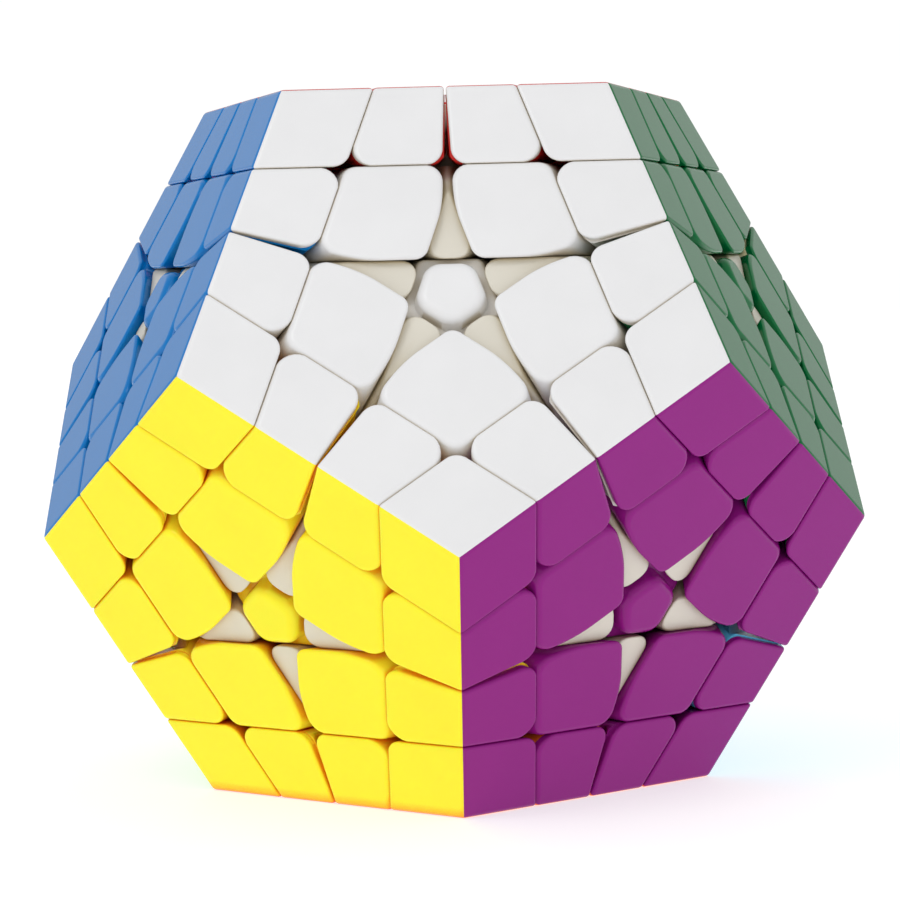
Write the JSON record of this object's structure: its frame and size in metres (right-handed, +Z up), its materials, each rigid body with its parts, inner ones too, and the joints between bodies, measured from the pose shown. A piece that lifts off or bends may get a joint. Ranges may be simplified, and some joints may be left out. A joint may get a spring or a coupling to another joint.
{
  "type": "dodecahedron twisty puzzle",
  "caption": "Twelve-sided twisty puzzle with coloured faces cut into four rows of pieces per edge, whose layers turn about the axes of the faces.",
  "frame": {"origin": "centre of the orange face that the puzzle stands on", "axes": "+Z up, out of the red face; -Y toward the white and yellow-purple side that faces the viewer; +X to the right"},
  "size_m": [0.0994, 0.1046, 0.0846],
  "materials": {
    "core_plastic": "ivory moulded plastic, satin",
    "red_plastic": "red coloured-through moulded plastic, glossy",
    "white_plastic": "white coloured-through moulded plastic, glossy",
    "green_plastic": "green coloured-through moulded plastic, glossy",
    "beige_plastic": "beige coloured-through moulded plastic, glossy",
    "pink_plastic": "pink coloured-through moulded plastic, glossy",
    "blue_plastic": "blue coloured-through moulded plastic, glossy",
    "yellow_plastic": "yellow coloured-through moulded plastic, glossy",
    "purple_plastic": "purple coloured-through moulded plastic, glossy",
    "light_blue_plastic": "light blue coloured-through moulded plastic, glossy",
    "gray_plastic": "gray coloured-through moulded plastic, glossy",
    "light_green_plastic": "light green coloured-through moulded plastic, glossy",
    "orange_plastic": "orange coloured-through moulded plastic, glossy"
  },
  "bodies": {
    "core": {"core": "core_plastic", "center_cap_white": "white_plastic", "center_cap_green": "green_plastic", "center_cap_beige": "beige_plastic", "center_cap_pink": "pink_plastic", "center_cap_blue": "blue_plastic", "center_cap_purple": "purple_plastic", "center_cap_gray": "gray_plastic", "center_cap_light_green": "light_green_plastic", "center_cap_orange": "orange_plastic", "corner_white_green_purple": "white_plastic", "corner_beige_pink_gray": "beige_plastic", "corner_pink_blue_light_green": "pink_plastic", "corner_pink_gray_light_green": "pink_plastic", "corner_gray_light_green_orange": "gray_plastic", "yellow_slice_ring": "white_plastic", "light_blue_slice_ring": "green_plastic", "corner_ring_white_green_purple": "white_plastic", "corner_ring_beige_pink_gray": "beige_plastic", "corner_ring_pink_blue_light_green": "pink_plastic", "corner_ring_pink_gray_light_green": "pink_plastic", "corner_ring_gray_light_green_orange": "gray_plastic"},
    "red_layer": {"center_cap_red": "red_plastic", "corner_red_white_green": "red_plastic", "corner_red_white_blue": "red_plastic", "corner_red_green_beige": "red_plastic", "corner_red_beige_pink": "red_plastic", "corner_red_pink_blue": "red_plastic", "red_layer_white_green": "red_plastic", "red_layer_green_beige": "red_plastic", "red_layer_beige_pink": "red_plastic", "red_layer_pink_blue": "red_plastic", "red_layer_blue_white": "red_plastic"},
    "red_slice": {"red_slice_white_green": "white_plastic", "red_slice_green_beige": "green_plastic", "red_slice_beige_pink": "beige_plastic", "red_slice_pink_blue": "pink_plastic", "red_slice_blue_white": "blue_plastic"},
    "yellow_layer": {"center_cap_yellow": "yellow_plastic", "corner_white_blue_yellow": "white_plastic", "corner_white_yellow_purple": "white_plastic", "corner_blue_yellow_light_green": "blue_plastic", "corner_yellow_purple_orange": "yellow_plastic", "corner_yellow_light_green_orange": "yellow_plastic", "yellow_layer_white_blue": "yellow_plastic", "yellow_layer_blue_light_green": "yellow_plastic", "yellow_layer_light_green_orange": "yellow_plastic", "yellow_layer_orange_purple": "yellow_plastic", "yellow_layer_purple_white": "yellow_plastic"},
    "light_blue_layer": {"center_cap_light_blue": "light_blue_plastic", "corner_green_beige_light_blue": "green_plastic", "corner_green_purple_light_blue": "green_plastic", "corner_beige_light_blue_gray": "beige_plastic", "corner_purple_light_blue_orange": "purple_plastic", "corner_light_blue_gray_orange": "light_blue_plastic", "light_blue_layer_green_beige": "light_blue_plastic", "light_blue_layer_beige_gray": "light_blue_plastic", "light_blue_layer_gray_orange": "light_blue_plastic", "light_blue_layer_orange_purple": "light_blue_plastic", "light_blue_layer_purple_green": "light_blue_plastic"}
  },
  "joints": [
    {"name": "red_face_turn", "type": "hinge", "parent": "core", "child": "red_layer", "pos_m": [0, 0, 0.04231], "axis": [0, 0, 1], "continuous": true},
    {"name": "red_slice_turn", "type": "hinge", "parent": "core", "child": "red_slice", "pos_m": [0, 0, 0.04231], "axis": [0, 0, 1], "continuous": true},
    {"name": "yellow_face_turn", "type": "hinge", "parent": "core", "child": "yellow_layer", "pos_m": [0, 0, 0.04231], "axis": [-0.5257, -0.7236, -0.4472], "continuous": true},
    {"name": "light_blue_face_turn", "type": "hinge", "parent": "core", "child": "light_blue_layer", "pos_m": [0, 0, 0.04231], "axis": [0.8507, 0.2764, -0.4472], "continuous": true}
  ]
}
